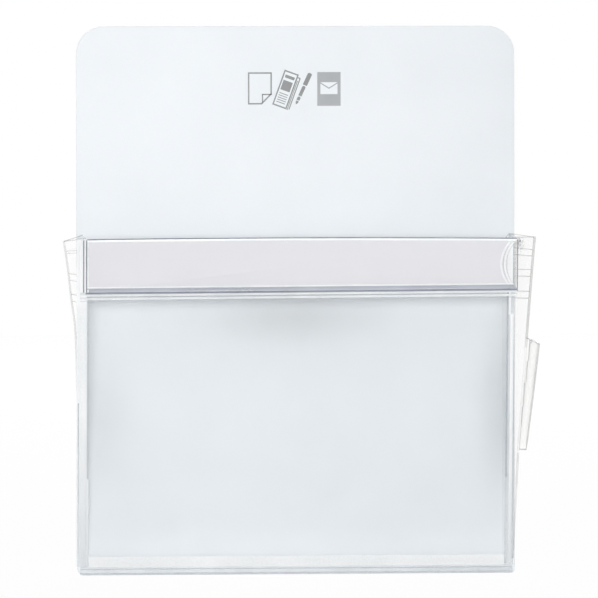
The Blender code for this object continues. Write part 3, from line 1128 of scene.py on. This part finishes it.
@dataclass
class LabelPocket:
    """The sleeve across the mouth with its rolled top, its welds and the card in it."""

    foot: float = 135.45 * MM
    slot_foot: float = 139.3 * MM
    bend_top: float = 142.6 * MM
    bend_line: float = 0.7 * MM
    top: float = LAYOUT.pocket_height - 0.4 * MM
    roll_length: float = 6.0 * MM
    roll_rise: float = 0.45 * MM
    skew: float = 0.0056
    arch: float = 0.6 * MM
    hollow: float = 0.25 * MM
    slot_left: float = -105.5 * MM
    left_end: float = -109.05 * MM
    weld_thickness: float = 0.5 * MM
    foot_stripes: Stripes = ((0.65, 0.1, 2), (1.0, 0.0, 0), (0.7, 0.08, 2), (1.2, 0.0, 0), (0.5, 0.25, 1))
    foot_changes: Changes = ((1, -106.6, 0, 1), (2, -106.6, 0, 2))
    end_level: float = -0.7 * MM
    end_stripes: Stripes = ((1.0, 0.1, 1), (0.58, 0.0, 1), (0.42, 0.15, 0), (1.03, 0.0, 1), (0.42, 0.15, 0),
                            (0.8, 0.0, 1))
    flange_level: float = -0.25 * MM
    flange_thickness: float = 0.16 * MM
    flange_stripes: Stripes = ((2.85, 0.0, 2), (2.0, 0.03, 0), (0.5, 0.03, 1))
    right_end: float = 109.5 * MM
    face_level: float = -0.95 * MM
    foot_level: float = -0.62 * MM
    notch: Triple = (122.1 * MM, 152.8 * MM, 17.9 * MM)
    crests: Pair = (0.9 * MM, 2.8 * MM)
    crest_rise: float = 0.2 * MM
    crest_width: float = 0.5 * MM
    lip_height: float = 11.8 * MM
    lip_edges: tuple[float, ...] = (0.45 * MM, 1.35 * MM, 2.25 * MM, 3.3 * MM)
    lip_zones: tuple[int, ...] = (4, 3, 4, 3, 0)
    end_gaps: tuple[float, ...] = (5.2, 4.2, 3.7, 3.3, 2.8, 2.25, 1.8, 1.35, 0.9, 0.45, 0.0)
    flange_width: float = 4.85 * MM
    card_low: Triple = (-105.4 * MM, -0.62 * MM, 139.3 * MM)
    card_high: Triple = (104.6 * MM, -0.38 * MM, 164.9 * MM)
    card_corner: float = 0.6 * MM
    card_rim: float = 0.05 * MM

    def mouth_end(self, z: float) -> float:
        """Give where the sleeve's film ends at the right: the notch's edge or the side.

        Args:
            z: The height above the hinge.

        Returns:
            The place across.
        """
        middle, height, radius = self.notch
        offset = abs(z - height)
        if offset >= radius:
            return self.right_end
        return min(self.right_end, middle - math.sqrt(radius ** 2 - offset ** 2))

    def face(self, x: float, turn: float) -> Vector:
        """Give the film's middle surface, from the foot weld up and over the rolled top.

        Args:
            x: The place across, as if the film had no notch.
            turn: The way up along the film; past the top it goes round the roll.

        Returns:
            The point in the front film's frame.
        """
        if turn > self.top:
            angle = (turn - self.top) / self.roll_length * math.pi
            radius = self.face_level / 2
            crown = self.top + self.roll_rise * math.sin(angle) - self.arch * (x / LAYOUT.fold_x) ** 2
            return Vector((x, radius + radius * math.cos(angle), crown))
        if turn < self.bend_top:
            share = between(turn, self.slot_foot, self.bend_top)
            level = self.foot_level + (self.face_level - self.foot_level) * share
        else:
            up = (turn - self.bend_top) / (self.top - self.bend_top)
            level = self.face_level - self.hollow * math.sin(math.pi * up)
        end = self.mouth_end(turn)
        share = (x - self.slot_left) / (self.right_end - self.slot_left)
        place = self.slot_left + (end - self.slot_left) * share
        if share > 0.9:
            level -= sum(self.crest_rise * math.exp(-((end - place - crest) / self.crest_width) ** 2)
                         for crest in self.crests)
        near_top = between(turn, self.bend_top, self.top)
        slant = self.skew * place * (1.0 - near_top) - self.arch * (place / LAYOUT.fold_x) ** 2 * near_top
        return Vector((place, level, turn + slant))

    def zone(self, x: float, turn: float) -> int:
        """Tell the roll, the bend above the foot weld and the notch's lip from the clear face.

        Args:
            x: The place across, as if the film had no notch.
            turn: The way up along the film.

        Returns:
            The zone.
        """
        # Zone 3 takes the weld film with its painted highlight along the roll's top, the bend's top and the
        # notch's lip; zone 1 takes the painted shade over the bend.
        if turn > self.top + 0.3 * MM:
            return 2
        if turn > self.top - 1.0 * MM or self.bend_top - self.bend_line < turn < self.bend_top:
            return 3
        if turn < self.bend_top:
            return 1
        crossed = sum(self.right_end - x > edge for edge in self.lip_edges)
        return self.lip_zones[crossed] if abs(turn - self.notch[1]) < self.lip_height else 0

    def film(self) -> Object:
        """Make the sleeve's film, with closer lines near its open end and round its roll.

        Returns:
            The film.
        """
        first, *rest = (self.right_end - gap * MM for gap in self.end_gaps)
        columns = spread(self.slot_left, first, 40) + rest
        rows = (spread(self.slot_foot, self.bend_top - self.bend_line, 4) + [self.bend_top]
                + spread(self.bend_top + 1.0 * MM, self.top - 1.0 * MM, 32) + [self.top + 0.3 * MM]
                + spread(self.top, self.top + self.roll_length, 8)[1:])
        return FilmSheet(columns, rows, self.face, 0.22 * MM, self.zone).make(
            "label_sleeve_film",
            ("sleeve_film", "bent_film", "pressed_line", "bright_weld_film", "faint_bar_line"), LAYOUT.front)

    def card(self) -> Object:
        """Model the card: a thin block with eased edges and corners.

        Returns:
            The card.
        """
        card = block("label_insert", self.card_low, self.card_high)
        with editing(card, "EDGE"):
            round_edges(card, self.card_corner, 4)
            round_edges(card, self.card_rim, 2, through=False)
        dress(card, "label_card_paper")
        soften(card)
        settle(card, LAYOUT.front)
        return card

    def build(self) -> None:
        """Build the sleeve, its welds, the dense edge behind its open end and the card, and fasten them."""
        foot = WeldBand(self.foot_stripes, self.foot, spread(self.left_end, self.right_end, 80),
                        self.foot_level, self.weld_thickness, upright=False, lean=self.skew,
                        changes=self.foot_changes)
        end = WeldBand(self.end_stripes, self.left_end,
                       spread(self.slot_foot, LAYOUT.pocket_height - 0.9 * MM, 12), self.end_level,
                       self.weld_thickness)
        flange = WeldBand(self.flange_stripes, self.right_end - self.flange_width,
                          spread(self.slot_foot, LAYOUT.pocket_height - 1.2 * MM, 12), self.flange_level,
                          self.flange_thickness)
        fasten(self.film(), "front", "clear_film", "label_sleeve", "label_top_fold")
        # The end weld and the mouth flange take the weld film with its painted highlight.
        for band, name, finishes, slot, *nodes in (
                (foot, "foot_weld", ("weld_film", "pressed_line", "weld_line"), "weld_film",
                 "label_foot_seam"),
                (end, "end_weld", ("pressed_line", "bright_weld_film", "faint_line"), "weld_film",
                 "label_end_seam"),
                (flange, "mouth_flange", ("pale_crease", "pressed_line", "bright_weld_film", "faint_line"),
                 "clear_film")):
            fasten(band.make("label_" + name, finishes, LAYOUT.front), "front", slot, *nodes)
        fasten(self.card(), "label", "label_paper", "label_card")


@dataclass
class Gusset:
    """One folded side of the pocket: two films that meet at a rounded crease, each with pressed bars."""

    side: Side
    pull: Sequence[Pair]
    droop: float
    marked: Layer
    film: str
    bar_finish: str
    crease_zones: Pair
    bars: Sequence[Pair]
    crease_radii: Pair
    pale_foot: float = 0.0
    foot: float = 3.0 * MM
    full_crease: float = 60.0 * MM
    droop_height: float = 22.0 * MM
    bar_rise: float = 0.2 * MM
    bar_line: float = 0.2 * MM
    bar_reach: tuple[float, float, float, float] = (0.06, 0.16, 0.88, 0.97)
    lip: float = 0.45 * MM
    sag: float = 0.1
    bend: Triple = (0.0, 2.2 * MM, 80.0 * MM)

    def crease(self, height: float) -> Vector:
        """Give the crease's point at a height along the fold.

        Args:
            height: The height above the hinge.

        Returns:
            The point in the row frame.
        """
        straight = LAYOUT.fold(self.side, Layer.REAR) @ Vector((height * LAYOUT.taper, 0.0, height))
        drop = self.droop * between(height, LAYOUT.pocket_height - self.droop_height, LAYOUT.pocket_height)
        inward, gap = read_off(self.pull, height), LAYOUT.rear_fold_y - LAYOUT.front_fold_y
        return straight - Vector((self.side.value * inward, gap / 2, drop))

    def relief(self, share: float, height: float) -> float:
        """Give how far a film is pressed out, which it is only in the bars.

        Args:
            share: How far the place is from the fold to the crease, from 0 to 1.
            height: The height above the hinge.

        Returns:
            The rise.
        """
        edge = self.bar_line
        rises = (plateau(height, low - edge, low + edge, high - edge, high + edge) for low, high in self.bars)
        return self.bar_rise * sum(rises) * plateau(share, *self.bar_reach)

    def leaf(self, layer: Layer) -> Object:
        """Make one film of the gusset.

        Args:
            layer: Which half of the gusset.

        Returns:
            The film.
        """
        place = LAYOUT.fold(self.side, layer)
        outer = self.side.value if layer is Layer.REAR else -self.side.value
        outward = outer * (place.to_3x3() @ Vector((0.0, 1.0, 0.0)))
        top = LAYOUT.pocket_height
        lines = [line for bar in self.bars for line in bar]
        edges = {line + way * self.bar_line for line in lines for way in (-1, 1)}
        middles = {(low + high) / 2 for low, high in zip(lines, lines[1:])}
        rows = sorted(set(spread(self.foot, lines[0] - 2.0 * MM, 30)) | edges | middles
                      | {top - 4.0 * MM, top - 2.0 * MM, top - self.lip, top})
        columns = [0.0, 0.05, 0.1, 0.16] + spread(0.26, 0.86, 6) + [0.91, 0.955, 0.985]

        def surface(share: float, height: float) -> Vector:
            """Give the film's middle surface.

            Args:
                share: How far the place is from the fold to the crease, from 0 to 1.
                height: The height above the hinge.

            Returns:
                The point.
            """
            fold = place @ Vector((0.0, 0.0, height))
            sag = self.sag * max(0.0, read_off(self.pull, height)) * math.sin(math.pi * share)
            return fold.lerp(self.crease(height), share) + outward * (self.relief(share, height) - sag)

        def zone(share: float, height: float) -> int:
            """Tell the film's lip and the lines along the bars from the clear film."""
            on_line = any(abs(height - line) < self.bar_line for line in lines) and 0.1 < share < 0.955
            return 1 if height > top - self.lip else 2 * on_line

        line_finish = self.bar_finish if layer is self.marked else "faint_bar_line"
        return FilmSheet(columns, rows, surface, 0.24 * MM, zone).make(
            f"{self.side.word}_{layer.value}_gusset_film",
            (self.film, "gusset_rim", line_finish, "faint_bar_line"))

    def crease_radius(self, height: float) -> float:
        """Give the crease's radius at a height: it is slimmer near the foot."""
        slim, full = self.crease_radii
        return slim + (full - slim) * between(height, self.foot, self.full_crease)

    def crease_roll(self) -> Object:
        """Model the rounded crease: a ring drawn up along the crease, station by station.

        Returns:
            The crease.
        """
        stations = spread(self.foot, LAYOUT.pocket_height, 40)
        roll = begin(f"{self.side.word}_crease_roll", bpy.ops.mesh.primitive_circle_add, vertices=10,
                     radius=self.crease_radius(self.foot), fill_type="NGON",
                     location=self.crease(self.foot))
        with editing(roll, "FACE"):
            bpy.ops.mesh.select_all(action="SELECT")
            for low, high in zip(stations, stations[1:]):
                end = self.crease(high)
                step = end - self.crease(low)
                bpy.ops.mesh.extrude_region_move(TRANSFORM_OT_translate={"value": tuple(step)})
                growth = self.crease_radius(high) / self.crease_radius(low)
                bpy.ops.transform.resize(value=(growth, growth, 1.0), center_override=tuple(end))
            bpy.ops.mesh.select_all(action="SELECT")
            bpy.ops.mesh.normals_make_consistent(inside=False)
        dress(roll, "faint_bar_line", "pale_crease", "gusset_rim")
        for face in roll.data.polygons:
            height = face.center.z - LAYOUT.hinge_z
            face.material_index = 1 if height < self.pale_foot else sum(
                height > start for start in self.crease_zones)
        soften(roll, 60.0)
        return roll

    def build(self) -> None:
        """Build both films, whose transforms are only baked, and the crease, which is fastened to the front
        leaf's body.
        """
        word, (first, last, height) = self.side.word, self.bend
        for layer, parent in ((Layer.REAR, "root"), (Layer.FRONT, "front")):
            start, end = (LAYOUT.fold(self.side, layer) @ Vector((x, 0.0, height)) for x in (first, last))
            fasten(self.leaf(layer), parent, "clear_film", f"{word}_{layer.value}_leaf",
                   bend=(f"{word}_{layer.value}_gusset", start, end))
        fasten(self.crease_roll(), f"{word}_front_gusset", "clear_film")


@dataclass
class PenLoop:
    """The pen's tube outside the right crease: a film loop with pinched edges, welded shut at its foot.

    The tab and the stations are rows in millimetres: a height and where the tab ends as a share of the half
    width, and a height, the tube's width and its depth.
    """

    foot: float = 58.0 * MM
    corner: Triple = (7.1 * MM, 0.0, 54.0 * MM)
    wall: float = 0.28 * MM
    gap: float = 0.85 * MM
    lip: float = 0.32 * MM
    tab: tuple[Pair, ...] = ((0.0, -0.98), (12.0, -0.96), (36.0, -0.72), (54.0, -0.45))
    outer_lip: float = 0.80
    edge_width: float = 0.06
    tab_width: float = 0.09
    rim: float = 0.55 * MM
    slant: Triple = (0.40, 0.0, 1.0)
    stations: tuple[Triple, ...] = (
        (0.0, 3.9, 0.9), (0.6, 4.0, 0.9), (1.4, 4.1, 0.9), (2.6, 4.2, 1.6), (6.0, 4.45, 3.6),
        (12.0, 4.8, 5.2), (22.0, 5.4, 6.6), (34.0, 6.05, 7.6), (45.0, 6.6, 8.2), (54.0, 7.0, 8.6),
        (57.5, 7.15, 8.8))

    def size(self, column: int, height: float) -> float:
        """Give the tube's width, from column 1 of the stations, or its depth, from column 2."""
        return read_off([(row[0], row[column]) for row in self.stations], height / MM) * MM

    def across(self, place: Vector) -> float:
        """Give how far a point is from the tube's middle to its edges, from -1 to 1."""
        width = self.size(1, place.z)
        return (2.0 * place.x - width) / width

    def pinch(self, tube: Object) -> None:
        """Pinch the oval's inner edge to a flat tab and its outer edge to a thin lip.

        Args:
            tube: The tube, before it has its walls.
        """
        for vertex in tube.data.vertices:
            if abs(vertex.co.y) < 0.01 * MM:
                continue
            inner, depth = read_off(self.tab, vertex.co.z / MM), self.size(2, vertex.co.z)
            middle, half = (inner + self.outer_lip) / 2, (self.outer_lip - inner) / 2
            share = (self.across(vertex.co) - middle) / half
            fuller = max(0.0, depth / 2 - self.lip) * math.sqrt(max(0.0, 1.0 - share * share))
            vertex.co.y = math.copysign(min(depth / 2, self.lip + fuller), vertex.co.y)

    def draw_up(self, tube: Object) -> None:
        """Draw the tube up from its ring, station by station, and leave it open.

        Args:
            tube: The ring, as wide and deep as 1 mm.
        """
        with editing(tube, "VERT"):
            bpy.ops.mesh.select_all(action="SELECT")
            bpy.ops.transform.resize(value=(*self.stations[0][1:], 1.0), center_override=ORIGIN)
            bpy.ops.transform.translate(value=(self.stations[0][1] / 2 * MM, 0.0, 0.0))
            bpy.ops.mesh.select_mode(type="FACE")
            bpy.ops.mesh.select_all(action="SELECT")
            for low, high in zip(self.stations, self.stations[1:]):
                step = (0.0, 0.0, (high[0] - low[0]) * MM)
                bpy.ops.mesh.extrude_region_move(TRANSFORM_OT_translate={"value": step})
                bpy.ops.transform.resize(value=(high[1] / low[1], high[2] / low[2], 1.0),
                                         center_override=ORIGIN)
            bpy.ops.mesh.delete(type="ONLY_FACE")

    def zone(self, centre: Vector) -> int:
        """Tell the rim and the foot, and the pinched edges, from the clear film.

        Args:
            centre: A face's centre.

        Returns:
            The zone.
        """
        corner, slant = Vector(self.corner), Vector(self.slant)
        if centre.dot(slant) > corner.dot(slant) - self.rim or centre.z < self.stations[1][0] * MM:
            return 2
        across, tab = self.across(centre), read_off(self.tab, centre.z / MM)
        return int(across > self.outer_lip - self.edge_width or abs(across - tab) < self.tab_width)

    def build(self) -> None:
        """Model the tube, cut it at a slant, wall it and fasten it to the right front leaf's body."""
        tube = begin("pen_loop_film", bpy.ops.mesh.primitive_circle_add, vertices=40, radius=0.5 * MM,
                     fill_type="NGON")
        self.draw_up(tube)
        self.pinch(tube)
        with editing(tube, "FACE"):
            bisect_all(self.corner, self.slant)
            bisect_all(Vector(self.corner) - Vector((0.0, 0.0, self.rim)), self.slant, clear=False)
            bpy.ops.mesh.select_all(action="SELECT")
            bpy.ops.mesh.normals_make_consistent(inside=False)
        dress(tube, "pen_loop_film", "pen_loop_edge", "gusset_rim")
        for face in tube.data.polygons:
            face.material_index = self.zone(face.center)
        modify(tube, "SOLIDIFY", thickness=self.wall, offset=-1.0, use_even_offset=True,
               material_offset_rim=2)
        soften(tube, 50.0)
        settle(tube, LAYOUT.pen_axis() @ Matrix.Translation((self.gap, 0.0, self.foot)))
        fasten(tube, "right_front_gusset", "clear_film", "pen_sleeve")


@dataclass
class Studio:
    """The floor, the white surroundings and the soft lamps, each with its place and its power in watts."""

    floor_size: float = 6.0
    ambient: float = 0.20
    glow: float = 0.975
    lamp_size: float = 1.4
    lamps: tuple[tuple[str, Triple, float], ...] = (
        ("key_lamp", (-0.6, -2.75, 0.3), 43.0), ("fill_lamp", (0.1, -3.0, 0.2), 31.5),
        ("back_lamp", (0.6, 2.6, 1.4), 52.0))

    def whiten(self, tree: NodeTree, plain: Node, kind: str, share: float, output: str) -> None:
        """Show white instead of a shader to camera, mirror and see-through rays.

        Args:
            tree: The world's or the floor's nodes.
            plain: The shader that lights the object.
            kind: The white shader's type.
            share: How much of it those rays see.
            output: The name of the tree's output node.
        """
        sheet = NodeSheet(tree)
        paths = sheet.add("LightPath").outputs
        seen = sheet.math("MAXIMUM", paths["Is Camera Ray"], paths["Is Glossy Ray"])
        rays = sheet.math("MAXIMUM", seen, paths["Is Transmission Ray"])
        white = sheet.add(kind, {"Color": (1.0, 1.0, 1.0), "Strength": 1.0})
        both = sheet.add("MixShader", {0: sheet.math("MULTIPLY", rays, share), 1: plain.outputs[0],
                                       2: white.outputs[0]})
        sheet.feed(tree.nodes[output].inputs["Surface"], both.outputs[0])

    def surroundings(self) -> None:
        """Make the world white to the eye and a plain level to the object."""
        world = bpy.context.scene.world = bpy.data.worlds.new("studio")
        world.use_nodes = True
        plain = world.node_tree.nodes["Background"]
        plain.inputs["Color"].default_value = (1.0, 1.0, 1.0, 1.0)
        plain.inputs["Strength"].default_value = self.ambient
        self.whiten(world.node_tree, plain, "Background", 1.0, "World Output")

    def floor(self) -> None:
        """Lay a pale floor under the pocket that keeps a faint shadow."""
        floor = begin("studio_floor", bpy.ops.mesh.primitive_plane_add, size=self.floor_size,
                      location=(0.0, 0.0, -LAYOUT.board_size[1] / 2 - 0.1 * MM))
        made, sheet, _, tone = Finish("studio_floor", (0.88, 0.88, 0.88), (0.90, 0.90, 0.90), drift_scale=3.0,
                                      speckle=0.1).start()
        shader = made.node_tree.nodes["Principled BSDF"]
        sheet.feed(shader.inputs["Base Color"], tone["Color"])
        shader.inputs["Roughness"].default_value = 0.8
        shader.inputs["Specular IOR Level"].default_value = 0.0
        self.whiten(made.node_tree, shader, "Emission", self.glow, "Material Output")
        floor.data.materials.append(made)

    def lamp(self, name: str, place: Triple, power: float) -> None:
        """Hang a soft square lamp that looks at the pocket.

        Args:
            name: The lamp's name.
            place: Where it hangs.
            power: Its power in watts.
        """
        bpy.ops.object.select_all(action="DESELECT")
        bpy.ops.object.light_add(type="AREA", location=place)
        lamp = bpy.context.active_object
        lamp.name = name
        lamp.data.shape = "SQUARE"
        lamp.data.size = self.lamp_size
        lamp.data.energy = power
        lamp.rotation_mode = "QUATERNION"
        lamp.rotation_quaternion = (-Vector(place)).to_track_quat("-Z", "Y")

    def build(self) -> None:
        """Set up the surroundings, the floor and the lamps."""
        bpy.context.scene.view_settings.view_transform = "Standard"
        bpy.context.scene.cycles.transparent_max_bounces = 32
        self.surroundings()
        self.floor()
        for lamp in self.lamps:
            self.lamp(*lamp)


@dataclass(frozen=True)
class Viewpoint:
    """The photograph's viewing angle, with a long lens."""

    azimuth: float = math.radians(-3.8)
    elevation: float = math.radians(2.044)
    roll: float = math.radians(0.112)
    distance: float = 4.0
    lens: float = 479.9
    aim: Triple = (1.65 * MM, 0.64 * MM, 0.0)

    def build(self) -> None:
        """Make the camera and look through it."""
        level = math.cos(self.elevation)
        back = Vector((math.sin(self.azimuth) * level, -math.cos(self.azimuth) * level,
                       math.sin(self.elevation)))
        turn = (-back).to_track_quat("-Z", "Y").to_matrix().to_4x4()
        bpy.ops.object.select_all(action="DESELECT")
        bpy.ops.object.camera_add()
        camera = bpy.context.scene.camera = bpy.context.active_object
        camera.name = "photo_camera"
        camera.data.lens = self.lens
        camera.data.clip_start, camera.data.clip_end = 0.1, 50.0
        camera.matrix_world = (Matrix.Translation(turn @ Vector(self.aim) + back * self.distance) @ turn
                               @ Matrix.Rotation(-self.roll, 4, "Z"))


def gussets() -> tuple[Gusset, Gusset]:
    """Give the two gussets, whose creases are pulled inwards by a table of heights and pulls.

    Returns:
        The left gusset and the right one.
    """
    left_pull = in_mm((0.0, -0.1), (14.0, -0.1), (33.0, 0.0), (60.0, 1.6), (90.0, 2.9), (105.0, 3.5),
                      (115.0, 3.8), (122.5, 3.8), (128.0, 3.4), (133.5, 2.9), (144.5, 2.4), (159.0, 1.8),
                      (166.5, 1.2))
    right_pull = in_mm((0.0, -1.9), (14.0, -1.6), (33.0, -1.2), (58.0, -0.6), (115.0, -0.85), (140.0, -1.0),
                       (166.5, -1.2))
    left_bars = in_mm((133.5, 137.0), (144.0, 147.5), (159.4, 160.8))
    right_bars = in_mm((134.0, 137.5), (145.0, 148.5), (156.0, 159.5))
    # The left gusset takes the lit copy of the gusset film and the right gusset the shaded copy, as painted
    # light and shade.
    return (Gusset(Side.LEFT, left_pull, 2.8 * MM, Layer.FRONT, "thin_gusset_film", "pale_crease",
                   (60.0 * MM, 200.0 * MM), left_bars, (0.25 * MM, 0.55 * MM)),
            Gusset(Side.RIGHT, right_pull, 1.5 * MM, Layer.REAR, "gusset_film", "pressed_bar_line",
                   (108.0 * MM, 114.0 * MM), right_bars, (0.30 * MM, 0.68 * MM), pale_foot=58.0 * MM))


def main() -> None:
    """Build the studio, then the pocket from the board outwards, and note its size."""
    logging.basicConfig(level=logging.INFO, format="%(name)s: %(message)s")
    for part in (Studio(), Viewpoint(), Board(), PrintedMarks(), Welds(), FrontPanel(), LabelPocket(),
                 *gussets(), PenLoop()):
        part.build()


if __name__ == "__main__":
    main()
